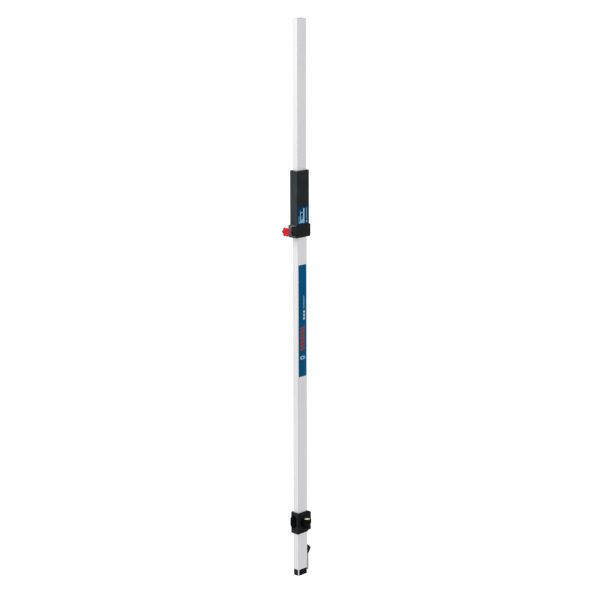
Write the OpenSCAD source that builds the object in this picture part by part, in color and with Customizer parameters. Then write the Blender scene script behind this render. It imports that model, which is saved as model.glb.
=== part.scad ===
// Two-section levelling rod with a friction clamp, a sliding bullseye level and a fold-out toe.
// Millimetres, +Z up the rod. The origin is the centre of the foot's underside.
// The wide front face looks along -Y, the knob is on -X and the toe on +X.

/* [Tubes] */
// Width of the outer tube, across its wide faces
tube_w = 41; // [40:0.1:42]
// Depth of the outer tube, across its narrow faces
tube_d = 23.5; // [23:0.1:24]
// Wall thickness of both tubes
tube_wall = 0.8; // [0.7:0.05:0.9]
// Gap between the two tubes on each side
slide_gap = 0.2; // [0.18:0.01:0.3]
// Radius of the outer tube's long edges
tube_edge_r = 1.2; // [1.1:0.1:1.6]
// Length of the outer tube
outer_len = 1330; // [1328:1:1332]
// Height of the inner tube's top, as set
rod_top = 1804; // [1795:1:1815]
// Length of the inner tube
inner_len = 1267; // [1230:1:1280]

/* [Foot] */
// Height of the black panels round the foot
panel_h = 20.4; // [18:0.1:24]
// Width of the tube's legs at the foot's corners
leg_w = 3; // [2.5:0.1:4]
// Height of the plug inside the tube
plug_h = 40; // [38:1:41]

/* [Toe] */
// Height of the toe's hinge pin
toe_hinge_z = 14; // [13:0.5:15]
// Distance of the toe's hinge pin from the tube
toe_hinge_out = 4; // [3.8:0.1:4.2]
// Width of the toe's channel
toe_w = 21; // [20.5:0.1:22]
// Height at which the channel ends and the thumb tab begins
toe_tab_z = 68; // [64:1:70]

/* [Clamp] */
// Width of the clamp
clamp_w = 64.8; // [62:0.1:66]
// How far the clamp's middle is off towards the knob, for the thread insert's thicker wall
clamp_offset = 1.1; // [0.5:0.1:1.5]
// Depth of the clamp
clamp_d = 35.6; // [35:0.1:37]
// Height of the clamp's underside
clamp_z = 1126; // [1120:1:1128]
// Height of the clamp
clamp_h = 39; // [38:1:42]
// Diameter of the knob over its lobes
knob_dia = 31; // [28:0.5:32]
// Number of lobes on the knob
knob_lobes = 6; // [5:1:7]

/* [Sleeve] */
// Width of the grip sleeve
sleeve_w = 54; // [53.2:0.1:55]
// Depth of the grip sleeve
sleeve_d = 31.4; // [31:0.1:32]
// Wall of the grip sleeve
sleeve_wall = 2; // [1.8:0.1:2.2]
// Length of the grip sleeve
sleeve_len = 171; // [170:1:180]

/* [Level] */
// Height of the level bracket's underside
level_z = 145; // [145:1:200]
// Height of the level bracket
level_h = 71; // [71:1:75]
// Diameter of the bullseye's window
bullseye_dia = 18.4; // [16:0.2:19]

/* [Labels] */
// Thickness of the stickers and scale strips
label_t = 0.2; // [0.15:0.01:0.2]
// Width of the label on the tube
front_label_w = 34.6; // [30:0.1:34.8]
// Height of that label's lower edge
front_label_z = 673; // [600:1:700]
// Length of that label
front_label_h = 363.5; // [300:0.5:380]
// Width of the label on the sleeve
sleeve_label_w = 48; // [40:0.1:49]
// Length of that label
sleeve_label_h = 55.5; // [40:0.5:60]

/* [Hidden] */
$fn = 48;
fit = 0.05; // gap of parts that sit in each other without moving
cut = 1; // how far a cutter runs past a face

// Tubes
half_w = tube_w / 2;
half_d = tube_d / 2;
bore_w = tube_w - 2 * tube_wall;
bore_d = tube_d - 2 * tube_wall;
bore_edge_r = tube_edge_r - tube_wall + 0.1;
inner_w = bore_w - 2 * slide_gap;
inner_d = bore_d - 2 * slide_gap;
inner_z = rod_top - inner_len;
recess_w = 30;
recess_t = 0.25;
scale_w = 29.6;
reading_slot = [16, 32];
outer_scale_z = [74, 1118];
inner_recess_w = 32;
inner_scale_w = 23;
inner_scale_margin = 14;
cap_h = 22;
shoe_flange_h = 32;
shoe_spigot_h = 28;
shoe_gap = 0.15;
shoe_rivet_x = 10;
shoe_rivet_r = 2;
shoe_bore = [28, 11];
cap_pocket = [31, 13];
pocket_r = 2;
shoe_rivet_z = inner_z + 14;

// Foot
notch_w = tube_w - 2 * leg_w;
notch_d = tube_d - 2 * leg_w;
sole_w = 30;
sole_d = 14;
sole_t = 3;
sole_screw_x = 10;
foot_rivet_x = 12;
foot_rivet_z = 31;
foot_rivet_r = 1.6;
foot_rivet_head_r = 3;
plug_pocket = [33, 15];
plug_pocket_r = 2;
plug_floor = 15;
sole_screw_r = 1.4;
sole_head_r = 3.1;
bump_h = 4;

// Toe
toe_x = half_w + toe_hinge_out;
toe_pin_r = 1.5;
toe_sheet = 1.2;
toe_slot = [7, 26];
toe_out_x = toe_x + 2.9;
toe_in_x = toe_x - 2.5;
toe_end_r = 3;
ear_r = 2.8;
ear_inner = 5.5;
ear_outer = notch_d / 2 - 0.2;
tab_tip = [37, 85.8];
tab_tip_r = 1.6;
tab_top = 97.6;
tab_tongue = [6, 16]; // half width and length of the tongue that holds the tab
tab_groove_r = 0.7;

// Clamp
clamp_top = clamp_z + clamp_h;
knob_z = clamp_z + 22;
clamp_x = [-clamp_offset - clamp_w / 2, -clamp_offset + clamp_w / 2];
half_clamp_d = clamp_d / 2;
cover_y = -half_clamp_d + 3;
lobe_r = 15;
lobe_y = -10;
lobe_proud = 0.8;
lobe_t = 3;
lobe_rim = 3;
stud_r = 3;
stud_bore_r = 3.05;
insert_r = 5;
insert_x = [-29.4, -26];
pad_r = 5.9;
pad_bore_r = 6;
pad_x = [-23.5, -inner_w / 2 - 0.05];
knob_x = [-64.3, -58.9];
knob_hub_x = -51;
knob_hub_r = 7;
knob_cap_r = 6;
clamp_screw_x = 26.5;
clamp_screw_z = [clamp_z + 7, clamp_top - 7];
stop_screw_x = 14;
stop_screw_z = clamp_z + 9.5;
stop_screw_r = 1.5;
stop_head_r = 2.8;
clamp_screw_r = 1.4;
clamp_head_r = 3.1;
clamp_edge_r = 2;
spigot_h = 14;

// Sleeve
sleeve_z = clamp_top;
sleeve_top = sleeve_z + sleeve_len;
sleeve_in_w = sleeve_w - 2 * sleeve_wall;
sleeve_in_d = sleeve_d - 2 * sleeve_wall;
sleeve_screw_x = 19;
sleeve_screw_z = sleeve_z + 7.5;
sleeve_screw_r = 1.2;
sleeve_head_r = 2.4;
sleeve_edge_r = 1.5;
collar_z = sleeve_top - 18;
collar_top = sleeve_top - 1;
window_z = sleeve_z + 37;
window_w = 22;
window_h = 28;
window_flange = 2; // how far the bezel laps the sleeve
window_rim = 3; // from the bezel's edge to the clear opening
window_step = 2; // from the bezel's edge to the pane's pocket

// Level
level_x = [-25, 22.8];
level_y = [-13.4, 18];
level_top = level_z + level_h;
level_gap = 0.6;
hump_x = 38;
hump_waist_x = 36.8;
hump_y = [-11.4, 17];
button_w = 21;
button_h = 39.5;
button_y = 4.5;
button_z = level_z + 39.5;
button_x = [-32.6, -24.4];
button_gap = 0.3;
button_groove_r = 1.3;
button_groove_pitch = 3.6;
strap_t = 1.5;
strap_h = 17;
strap_y = 13.5;
strap_x = [-24.4, 25.5];
yoke_pad_gap = 0.1;
cavity_x = 33.2;
runner_x = [17.5, 18.9];
runner_t = 0.45;
vial_x = 4.9;
vial_y = -27;
vial_top = level_z + 50.4;
vial_cup_r = 13.3;
vial_pocket_r = 10.2;
vial_bore_r = bullseye_dia / 2 - 0.5;
vial_floor = 11.6; // from the ring's top down to the floor of the spirit's chamber
vial_pocket_h = 13.5;
vial_seat = 3.6; // from the ring's top down to the lens's underside
vial_ring_t = 1;
vial_cup_top = 0.8; // from the ring's top down to the cup's rim
vial_boss_r = 14.5;
vial_boss_t = 1.6;
housing_screw_r = 1.25;
housing_head_r = 2.05;
housing_edge_r = 1.6;
housing_screw_holes = [
  [-22.9, level_z + 6, 18], [-22.9, level_top - 5, 18], [29.5, level_z + 9, 17], [29.5, level_z + 54, 17]
];

// ---- helpers ----

// Rectangle with round corners, about the origin
module rounded(w, d, r) {
  square([w - 2 * r, d], center = true);
  square([w, d - 2 * r], center = true);
  for (sx = [-1, 1], sy = [-1, 1])
    translate([sx * (w / 2 - r), sy * (d / 2 - r)]) circle(r);
}

// Upright prism of a rounded rectangle
module post(w, d, r, z0, z1) {
  translate([0, 0, z0]) linear_extrude(z1 - z0) rounded(w, d, r);
}

// Box between two corners
module block(x0, x1, y0, y1, z0, z1) {
  translate([x0, y0, z0]) cube([x1 - x0, y1 - y0, z1 - z0]);
}

// Extrusion along X of an outline drawn in Y and Z
module along_x(x0, x1) {
  translate([x0, 0, 0]) rotate([90, 0, 90]) linear_extrude(x1 - x0) children();
}

// Extrusion along Y of an outline drawn in X and Z
module along_y(y0, y1) {
  translate([0, y1, 0]) rotate([90, 0, 0]) linear_extrude(y1 - y0) children();
}

// Cylinders along each axis
module rod_x(x0, x1, r, y, z) {
  translate([x0, y, z]) rotate([0, 90, 0]) cylinder(h = x1 - x0, r = r);
}

module rod_y(y0, y1, r, x, z) {
  translate([x, y1, z]) rotate([90, 0, 0]) cylinder(h = y1 - y0, r = r);
}

module rod_z(z0, z1, r, x, y) {
  translate([x, y, z0]) cylinder(h = z1 - z0, r = r);
}

// Upright oval: a square with a half round at each end
module stadium(w, h) {
  square([w, h - w], center = true);
  for (s = [-1, 1]) translate([0, s * (h - w) / 2]) circle(w / 2);
}

// Screw let in along -Y from a face at y: a pan head and a shank, with a cross cut in the head
module screw_from_back(x, y, z, head_r, head_t, shank_r, len) {
  difference() {
    union() {
      rod_y(y - head_t, y, head_r, x, z);
      rod_y(y - len, y - head_t, shank_r, x, z);
    }
    for (a = [0, 90])
      translate([x, y, z]) rotate([0, a, 0]) cube([head_r * 1.2, head_t, head_r * 0.24], center = true);
  }
}

// ---- lower section ----

module outer_tube() {
  color("gainsboro")
  difference() {
    linear_extrude(outer_len) difference() {
      rounded(tube_w, tube_d, tube_edge_r);
      rounded(bore_w, bore_d, bore_edge_r);
    }
    block(-notch_w / 2, notch_w / 2, -tube_d, tube_d, -cut, panel_h);
    block(-tube_w, tube_w, -notch_d / 2, notch_d / 2, -cut, panel_h);
    block(-recess_w / 2, recess_w / 2, half_d - recess_t, half_d + cut, outer_scale_z[0], outer_scale_z[1]);
    rod_x(-half_w - cut, -half_w + tube_wall + cut, pad_bore_r, 0, knob_z);
    block(
      -reading_slot[0] / 2, reading_slot[0] / 2, half_d - tube_wall - cut, half_d + cut,
      window_z - reading_slot[1] / 2, window_z + reading_slot[1] / 2
    );
    for (s = [-1, 1]) {
      rod_y(half_d - tube_wall - cut, half_d + cut, stop_screw_r + fit, s * stop_screw_x, stop_screw_z);
      rod_y(half_d - tube_wall - cut, half_d + cut, foot_rivet_r + fit, s * foot_rivet_x, foot_rivet_z);
    }
  }
}

// Two ears on the foot's +X panel that carry the toe's pin
module toe_ears() {
  for (s = [-1, 1]) {
    y0 = s > 0 ? ear_inner : -ear_outer;
    y1 = s > 0 ? ear_outer : -ear_inner;
    rod_y(y0, y1, ear_r, toe_x, toe_hinge_z);
    along_y(y0, y1)
      polygon([
        [half_w - 0.5, toe_hinge_z - 8], [toe_x + ear_r * 0.5, toe_hinge_z - ear_r * 0.866],
        [toe_x, toe_hinge_z + ear_r], [half_w - 0.5, toe_hinge_z + ear_r]
      ]);
  }
}

module foot_plug() {
  color("#26282b")
  difference() {
    union() {
      post(bore_w - 2 * fit, bore_d - 2 * fit, bore_edge_r, 0, plug_h);
      block(-notch_w / 2 + fit, notch_w / 2 - fit, -half_d, half_d, 0, panel_h - fit);
      block(-half_w, half_w, -notch_d / 2 + fit, notch_d / 2 - fit, 0, panel_h - fit);
      toe_ears();
    }
    post(sole_w + 2 * fit, sole_d + 2 * fit, 2, -cut, sole_t + fit);
    post(plug_pocket[0], plug_pocket[1], plug_pocket_r, plug_floor, plug_h + cut);
    for (s = [-1, 1]) {
      rod_z(-cut, plug_floor + cut, sole_screw_r + fit, s * sole_screw_x, 0);
      rod_y(half_d - 6, half_d + cut, foot_rivet_r + fit, s * foot_rivet_x, foot_rivet_z);
    }
    rod_y(-half_d, half_d, toe_pin_r + fit, toe_x, toe_hinge_z);
  }
}

module foot_sole() {
  color("silver")
  difference() {
    post(sole_w, sole_d, 2, 0, sole_t);
    for (s = [-1, 1]) {
      rod_z(-cut, sole_t + cut, sole_screw_r + 0.2, s * sole_screw_x, 0);
      translate([s * sole_screw_x, 0, -0.01])
        cylinder(h = 1.8, r1 = sole_head_r + 0.3, r2 = sole_screw_r + 0.2);
    }
  }
}

module sole_screws() {
  color("dimgray")
  for (s = [-1, 1]) translate([s * sole_screw_x, 0, 0]) {
    difference() {
      translate([0, 0, 0.2]) cylinder(h = 1.7, r1 = sole_head_r, r2 = sole_screw_r);
      for (a = [0, 90]) rotate([0, 0, a]) cube([3.4, 0.7, 1.6], center = true);
    }
    rod_z(1.89, plug_floor - 2, sole_screw_r, 0, 0);
  }
}

module foot_rivets() {
  color("silver")
  for (s = [-1, 1]) {
    rod_y(half_d - 5, half_d, foot_rivet_r, s * foot_rivet_x, foot_rivet_z);
    translate([s * foot_rivet_x, half_d, foot_rivet_z]) rotate([-90, 0, 0])
      cylinder(h = 0.45, r1 = foot_rivet_head_r, r2 = foot_rivet_head_r - 0.8);
  }
}

// Rubber block that the inner tube's shoe comes down on
module bump_stop() {
  color("#1a1a1a")
  post(
    plug_pocket[0] - 2 * fit, plug_pocket[1] - 2 * fit, plug_pocket_r, plug_h - 6, plug_h + bump_h
  );
}

module toe_pin() {
  color("silver")
  rod_y(-toe_w / 2 - 0.6, toe_w / 2 + 0.6, toe_pin_r, toe_x, toe_hinge_z);
}

module front_label() {
  color("#00567f")
  block(
    -front_label_w / 2, front_label_w / 2, -half_d - label_t, -half_d,
    front_label_z, front_label_z + front_label_h
  );
}

module outer_scale() {
  color("#e8e6d8")
  block(
    -scale_w / 2, scale_w / 2, half_d - recess_t, half_d - recess_t + label_t,
    outer_scale_z[0] + fit, outer_scale_z[1] - fit
  );
}

// ---- clamp ----

// D-shaped lobe with which the cover laps each side of the clamp
module lobe_outline(r) {
  intersection() {
    translate([lobe_y, knob_z]) circle(r, $fn = 96);
    translate([-half_clamp_d + 1, clamp_z + 1.5]) square([clamp_d, clamp_h - 3]);
  }
}

module clamp_block() {
  translate([-clamp_offset, 0, 0]) post(clamp_w, clamp_d, clamp_edge_r, clamp_z, clamp_top);
}

module clamp_body() {
  color("#5b5e60")
  difference() {
    union() {
      intersection() {
        clamp_block();
        block(-clamp_w, clamp_w, cover_y, clamp_d, clamp_z, clamp_top);
      }
      post(
        sleeve_in_w - 2 * fit, sleeve_in_d - 2 * fit, sleeve_edge_r, clamp_top, clamp_top + spigot_h
      );
    }
    post(tube_w + 2 * fit, tube_d + 2 * fit, tube_edge_r, clamp_z - cut, clamp_top + spigot_h + cut);
    for (s = [-1, 1]) {
      x0 = s > 0 ? clamp_x[1] - lobe_t + lobe_proud - fit : clamp_x[0] - cut;
      x1 = s > 0 ? clamp_x[1] + cut : clamp_x[0] + lobe_t - lobe_proud + fit;
      along_x(x0, x1) lobe_outline(lobe_r + fit);
      rod_y(half_d - cut, half_clamp_d + cut, stop_screw_r + fit, s * stop_screw_x, stop_screw_z);
      rod_y(half_clamp_d - 2.2, half_clamp_d + cut, stop_head_r + 0.2, s * stop_screw_x, stop_screw_z);
      for (z = clamp_screw_z) {
        rod_y(-half_clamp_d, half_clamp_d + cut, clamp_screw_r + 0.35, s * clamp_screw_x, z);
        rod_y(half_clamp_d - 2.5, half_clamp_d + cut, clamp_head_r + 0.2, s * clamp_screw_x, z);
      }
      rod_y(half_d + 0.2, half_clamp_d, sleeve_screw_r + fit, s * sleeve_screw_x, sleeve_screw_z);
    }
    rod_x(insert_x[1] - 0.1, -half_w + cut, pad_bore_r, 0, knob_z);
    rod_x(clamp_x[0] - cut, insert_x[1], insert_r + 0.02, 0, knob_z);
  }
}

module clamp_cover() {
  color("#232527")
  difference() {
    union() {
      intersection() {
        clamp_block();
        block(-clamp_w, clamp_w, -clamp_d, cover_y, clamp_z, clamp_top);
      }
      for (s = [-1, 1]) {
        x0 = s > 0 ? clamp_x[1] - lobe_t + lobe_proud : clamp_x[0] - lobe_proud;
        along_x(x0, x0 + lobe_t) lobe_outline(lobe_r);
      }
    }
    // a shallow field inside the rim of each lobe
    for (s = [-1, 1]) {
      x0 = s > 0 ? clamp_x[1] + lobe_proud - 0.7 : clamp_x[0] - lobe_proud - cut;
      x1 = s > 0 ? clamp_x[1] + lobe_proud + cut : clamp_x[0] - lobe_proud + 0.7;
      along_x(x0, x1) intersection() {
        translate([lobe_y, knob_z]) circle(lobe_r - lobe_rim, $fn = 96);
        translate([lobe_y - lobe_r, clamp_z]) square([2 * lobe_r - 9, clamp_h]);
      }
      for (z = clamp_screw_z) 
        rod_y(-half_clamp_d + 1, cover_y + cut, clamp_screw_r + fit, s * clamp_screw_x, z);
    }
    rod_x(clamp_x[0] - lobe_proud - cut, clamp_x[0] + lobe_t, stud_r + 0.6, 0, knob_z);
  }
}

module clamp_screws() {
  color("dimgray")
  for (s = [-1, 1], z = clamp_screw_z)
    screw_from_back(
      s * clamp_screw_x, half_clamp_d - 0.6, z, clamp_head_r, 1.8, clamp_screw_r, clamp_d - 3
    );
}

// Their tips run in the inner tube's recess and stop its shoe at full reach
module stop_screws() {
  color("dimgray")
  for (s = [-1, 1])
    screw_from_back(
      s * stop_screw_x, half_clamp_d - 0.4, stop_screw_z, stop_head_r, 1.6, stop_screw_r,
      half_clamp_d - 0.4 - (inner_d / 2 - 0.15)
    );
}

module thread_insert() {
  color("goldenrod")
  difference() {
    rod_x(insert_x[0], insert_x[1], insert_r, 0, knob_z);
    rod_x(insert_x[0] - cut, insert_x[1] + cut, stud_bore_r, 0, knob_z);
  }
}

// ---- sleeve ----

module grip_sleeve() {
  color("#34373a")
  difference() {
    post(sleeve_w, sleeve_d, sleeve_edge_r + 0.3, sleeve_z, sleeve_top);
    post(sleeve_in_w, sleeve_in_d, sleeve_edge_r, sleeve_z - cut, sleeve_top + cut);
    block(
      -window_w / 2 - fit, window_w / 2 + fit, sleeve_in_d / 2 - cut, sleeve_d,
      window_z - window_h / 2 - fit, window_z + window_h / 2 + fit
    );
    for (s = [-1, 1]) {
      rod_y(sleeve_in_d / 2 - cut, sleeve_d, sleeve_screw_r + 0.3, s * sleeve_screw_x, sleeve_screw_z);
      rod_y(sleeve_d / 2 - 1, sleeve_d, sleeve_head_r + 0.2, s * sleeve_screw_x, sleeve_screw_z);
    }
  }
}

module sleeve_label() {
  color("#0b4a72")
  block(
    -sleeve_label_w / 2, sleeve_label_w / 2, -sleeve_d / 2 - label_t, -sleeve_d / 2,
    sleeve_z + 1.5, sleeve_z + 1.5 + sleeve_label_h
  );
}

module sleeve_screws() {
  color("dimgray")
  for (s = [-1, 1])
    screw_from_back(
      s * sleeve_screw_x, sleeve_d / 2 + 0.6, sleeve_screw_z, sleeve_head_r, 1.5, sleeve_screw_r, 3.9
    );
}

// Closes the sleeve's top and guides the inner tube above the end of the outer one
module upper_collar() {
  color("#1d1f21")
  difference() {
    post(sleeve_in_w - 2 * fit, sleeve_in_d - 2 * fit, sleeve_edge_r, collar_z, collar_top);
    post(tube_w + 2 * fit, tube_d + 2 * fit, tube_edge_r, collar_z - cut, outer_len + fit);
    post(inner_w + 0.2, inner_d + 0.2, 0.6, collar_z - cut, collar_top + cut);
  }
}

module window_bezel() {
  color("#1d1f21")
  difference() {
    union() {
      block(
        -window_w / 2, window_w / 2, sleeve_in_d / 2 - 0.6, sleeve_d / 2 + 0.4,
        window_z - window_h / 2, window_z + window_h / 2
      );
      block(
        -window_w / 2 - window_flange, window_w / 2 + window_flange, sleeve_d / 2, sleeve_d / 2 + 1,
        window_z - window_h / 2 - window_flange, window_z + window_h / 2 + window_flange
      );
    }
    block(
      -window_w / 2 + window_rim, window_w / 2 - window_rim, 0, sleeve_d,
      window_z - window_h / 2 + window_rim, window_z + window_h / 2 - window_rim
    );
    block(
      -window_w / 2 + window_step, window_w / 2 - window_step, 0, sleeve_d / 2 - 0.4,
      window_z - window_h / 2 + window_step, window_z + window_h / 2 - window_step
    );
  }
}

// Clear pane, stepped so that its face stands in the bezel's opening
module window_lens() {
  back = window_step + fit;
  face = window_rim + fit;
  color("lightcyan", 0.4)
  union() {
    block(
      -window_w / 2 + back, window_w / 2 - back, sleeve_in_d / 2 - 0.6, sleeve_d / 2 - 0.45,
      window_z - window_h / 2 + back, window_z + window_h / 2 - back
    );
    block(
      -window_w / 2 + face, window_w / 2 - face, sleeve_in_d / 2, sleeve_d / 2 + 0.2,
      window_z - window_h / 2 + face, window_z + window_h / 2 - face
    );
  }
}

// ---- inner section ----

module inner_tube() {
  color("gainsboro")
  difference() {
    post(inner_w, inner_d, tube_edge_r - 0.3, inner_z, rod_top);
    post(
      inner_w - 2 * tube_wall, inner_d - 2 * tube_wall, tube_edge_r - tube_wall + 0.1,
      inner_z - cut, rod_top + cut
    );
    block(
      -inner_recess_w / 2, inner_recess_w / 2, inner_d / 2 - recess_t, inner_d,
      inner_z - cut, rod_top + cut
    );
    for (s = [-1, 1]) rod_y(-inner_d, 0, shoe_rivet_r + 0.02, s * shoe_rivet_x, shoe_rivet_z);
  }
}

module top_cap() {
  color("#2a2c2e")
  difference() {
    post(
      inner_w - 2 * tube_wall - 2 * fit, inner_d - 2 * tube_wall - 2 * fit, 0.5,
      rod_top - cap_h, rod_top
    );
    post(cap_pocket[0], cap_pocket[1], pocket_r, rod_top - cap_h - cut, rod_top - 4);
  }
}

module guide_shoe() {
  color("#e4e2da")
  difference() {
    union() {
      post(
        bore_w - 2 * shoe_gap, bore_d - 2 * shoe_gap, 0.9, inner_z - shoe_flange_h, inner_z
      );
      post(
        inner_w - 2 * tube_wall - 2 * fit, inner_d - 2 * tube_wall - 2 * fit, 0.5,
        inner_z, inner_z + shoe_spigot_h
      );
    }
    post(
      shoe_bore[0], shoe_bore[1], pocket_r,
      inner_z - shoe_flange_h - cut, inner_z + shoe_spigot_h + cut
    );
    for (s = [-1, 1]) rod_y(-inner_d, -6, shoe_rivet_r + 0.02, s * shoe_rivet_x, shoe_rivet_z);
  }
}

module shoe_rivets() {
  color("silver")
  for (s = [-1, 1]) rod_y(-inner_d / 2, -6, shoe_rivet_r, s * shoe_rivet_x, shoe_rivet_z);
}

module inner_scale() {
  color("#e8e6d8")
  block(
    -inner_scale_w / 2, inner_scale_w / 2, inner_d / 2 - recess_t, inner_d / 2 - recess_t + label_t,
    inner_z + inner_scale_margin, rod_top - inner_scale_margin
  );
}

// ---- brake and knob ----

module brake_pad() {
  color("#3a3a38")
  rod_x(pad_x[0], pad_x[1], pad_r, 0, knob_z);
}

module knob_stud() {
  color("#4a4c4e")
  rod_x(knob_x[0] + 2, pad_x[0], stud_r, 0, knob_z);
}

module knob_head() {
  lobe = knob_dia * 0.148;
  color("#dd1822")
  difference() {
    union() {
      along_x(knob_x[0], knob_x[1]) translate([0, knob_z]) {
        circle(knob_dia * 0.39);
        for (i = [0:knob_lobes - 1])
          rotate(i * 360 / knob_lobes) translate([knob_dia / 2 - lobe, 0]) circle(lobe);
      }
      rod_x(knob_x[1] - cut, knob_hub_x, knob_hub_r, 0, knob_z);
    }
    rod_x(knob_x[0] + 2 - fit, knob_hub_x + cut, stud_r + 0.02, 0, knob_z);
    rod_x(knob_x[0] - cut, knob_x[0] + 1, knob_cap_r + fit, 0, knob_z);
  }
}

module knob_cap() {
  color("#b8121b")
  rod_x(knob_x[0] - 0.4, knob_x[0] + 1, knob_cap_r, 0, knob_z);
}

// ---- level bracket ----

module housing_outline() {
  w = level_x[1] - level_x[0];
  d = level_y[1] - level_y[0];
  translate([(level_x[0] + level_x[1]) / 2, (level_y[0] + level_y[1]) / 2, level_z])
    linear_extrude(level_h) rounded(w, d, housing_edge_r);
}

// Finger rest on the +X side, which also covers the end of the release yoke
module hump() {
  x0 = level_x[1] - 1;
  along_y(hump_y[0], hump_y[1])
    polygon([
      [x0, level_z + 1], [hump_x - 2, level_z + 3.5], [hump_x, level_z + 5.5],
      [hump_x, level_z + 14], [hump_waist_x, level_z + 19], [hump_waist_x, level_z + 33],
      [hump_x, level_z + 38], [hump_x, level_z + 60], [hump_x - 2.5, level_z + 64.5],
      [x0, level_top - 1.5]
    ]);
}

module housing() {
  difference() {
    union() {
      housing_outline();
      hump();
    }
    post(
      tube_w + 2 * level_gap, tube_d + 2 * level_gap, tube_edge_r + level_gap,
      level_z - cut, level_top + cut
    );
    // oval window of the release button
    along_x(level_x[0] - cut, -half_w) translate([button_y, button_z])
      stadium(button_w + 2 * button_gap, button_h + 2 * button_gap);
    // slot for the yoke's strap, and the chamber for its far end
    block(
      level_x[0] + 0.6, cavity_x, strap_y - button_gap, strap_y + strap_t + button_gap,
      button_z - strap_h / 2 - button_gap, button_z + strap_h / 2 + button_gap
    );
    block(
      half_w, cavity_x, -6, strap_y + strap_t + button_gap,
      button_z - strap_h / 2 - 1, button_z + strap_h / 2 + 1
    );
    for (h = housing_screw_holes) {
      rod_y(-6, h[2] + cut, housing_screw_r + fit, h[0], h[1]);
      rod_y(h[2] - 2, h[2] + cut, housing_head_r + 0.1, h[0], h[1]);
    }
  }
}

module housing_front() {
  color("#2c2f31")
  intersection() {
    housing();
    block(-50, 50, -50, 0, level_z, level_top);
  }
}

module housing_rear() {
  color("#2c2f31")
  intersection() {
    housing();
    block(-50, 50, 0, 50, level_z, level_top);
  }
}

module housing_screws() {
  color("dimgray")
  for (h = housing_screw_holes)
    screw_from_back(h[0], h[2] - 0.5, h[1], housing_head_r, 1.4, housing_screw_r, h[2] + 5);
}

// Plastic runners at the corners, clear of the label, on which the bracket slides
module liner_runners() {
  color("#dcdad2")
  for (sx = [-1, 1], sy = [-1, 1]) {
    x0 = sx > 0 ? runner_x[0] : -runner_x[1];
    y0 = sy > 0 ? half_d + level_gap - runner_t : -half_d - level_gap;
    block(x0, x0 + runner_x[1] - runner_x[0], y0, y0 + runner_t, level_z + 3, level_top - 3);
  }
}

module vial_holder() {
  cup_h = 12.5;
  cone_h = 18;
  color("#1d1f21")
  difference() {
    union() {
      rod_z(vial_top - cup_h, vial_top - vial_cup_top, vial_cup_r, vial_x, vial_y);
      translate([vial_x, vial_y, vial_top - cup_h - cone_h]) cylinder(h = cone_h, r1 = 5, r2 = vial_cup_r);
      block(
        vial_x - 9, vial_x + 9, vial_y, level_y[0], vial_top - 29, vial_top - vial_cup_top
      );
      along_y(level_y[0] - vial_boss_t, level_y[0])
        translate([vial_x, vial_top - 16]) circle(vial_boss_r, $fn = 96);
    }
    rod_z(vial_top - vial_pocket_h, vial_top + cut, vial_pocket_r, vial_x, vial_y);
    block(-level_h, level_h, level_y[0], 0, level_z - level_h, level_top + level_h);
  }
}

module vial_base() {
  color("#d9dcc8")
  difference() {
    rod_z(vial_top - vial_pocket_h, vial_top - vial_seat, vial_pocket_r - fit, vial_x, vial_y);
    rod_z(vial_top - vial_floor, vial_top, vial_bore_r, vial_x, vial_y);
  }
}

module vial_liquid() {
  color("#c8dc5a", 0.7)
  rod_z(vial_top - vial_floor + fit, vial_top - vial_seat - fit, vial_bore_r - 0.02, vial_x, vial_y);
}

module vial_lens() {
  color("#eef5d8", 0.4)
  union() {
    rod_z(vial_top - vial_seat, vial_top - vial_ring_t, vial_pocket_r - fit, vial_x, vial_y);
    translate([vial_x, vial_y, vial_top - vial_ring_t])
      cylinder(h = 0.9, r1 = bullseye_dia / 2 - 0.1, r2 = 7.6);
  }
}

module vial_ring() {
  color("#17181a")
  translate([vial_x, vial_y, vial_top - vial_ring_t]) difference() {
    union() {
      cylinder(h = vial_ring_t, r = vial_pocket_r - fit);
      translate([0, 0, vial_ring_t - vial_cup_top])
        cylinder(h = vial_cup_top, r1 = vial_cup_r, r2 = vial_cup_r - 0.8);
    }
    translate([0, 0, -cut]) cylinder(h = vial_ring_t + 2 * cut, r = bullseye_dia / 2);
  }
}

// ---- release of the level bracket ----

module release_button() {
  color("#191b1e")
  difference() {
    along_x(button_x[0], button_x[1]) translate([button_y, button_z]) stadium(button_w, button_h);
    // finger grooves across the face
    for (i = [-3:3])
      along_y(button_y - 7, button_y + 7)
        translate([button_x[0] - 0.6, button_z + button_groove_pitch * i]) circle(button_groove_r);
  }
}

// Steel strap that goes round the back of the tube and pulls the pad against its far side
module release_yoke() {
  z0 = button_z - strap_h / 2;
  z1 = button_z + strap_h / 2;
  y1 = strap_y + strap_t;
  color("silver")
  union() {
    block(strap_x[0], strap_x[0] + strap_t, -4, y1, z0, z1);
    block(strap_x[0], strap_x[1], strap_y, y1, z0, z1);
    block(strap_x[1] - strap_t, strap_x[1], -5, y1, z0, z1);
  }
}

module yoke_pad() {
  color("#3a3a38")
  block(
    half_w + yoke_pad_gap, strap_x[1] - strap_t, -4.5, 10,
    button_z - strap_h / 2 + 1, button_z + strap_h / 2 - 1
  );
}

// One ring of a swept helix about the X axis
function coil_ring(a, r, wire, pitch, n) = [
  for (j = [0:n - 1]) let (b = 360 * j / n, q = r + wire * cos(b)) [
    a / 360 * pitch + wire * sin(b), q * cos(a), q * sin(a)
  ]
];

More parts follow.
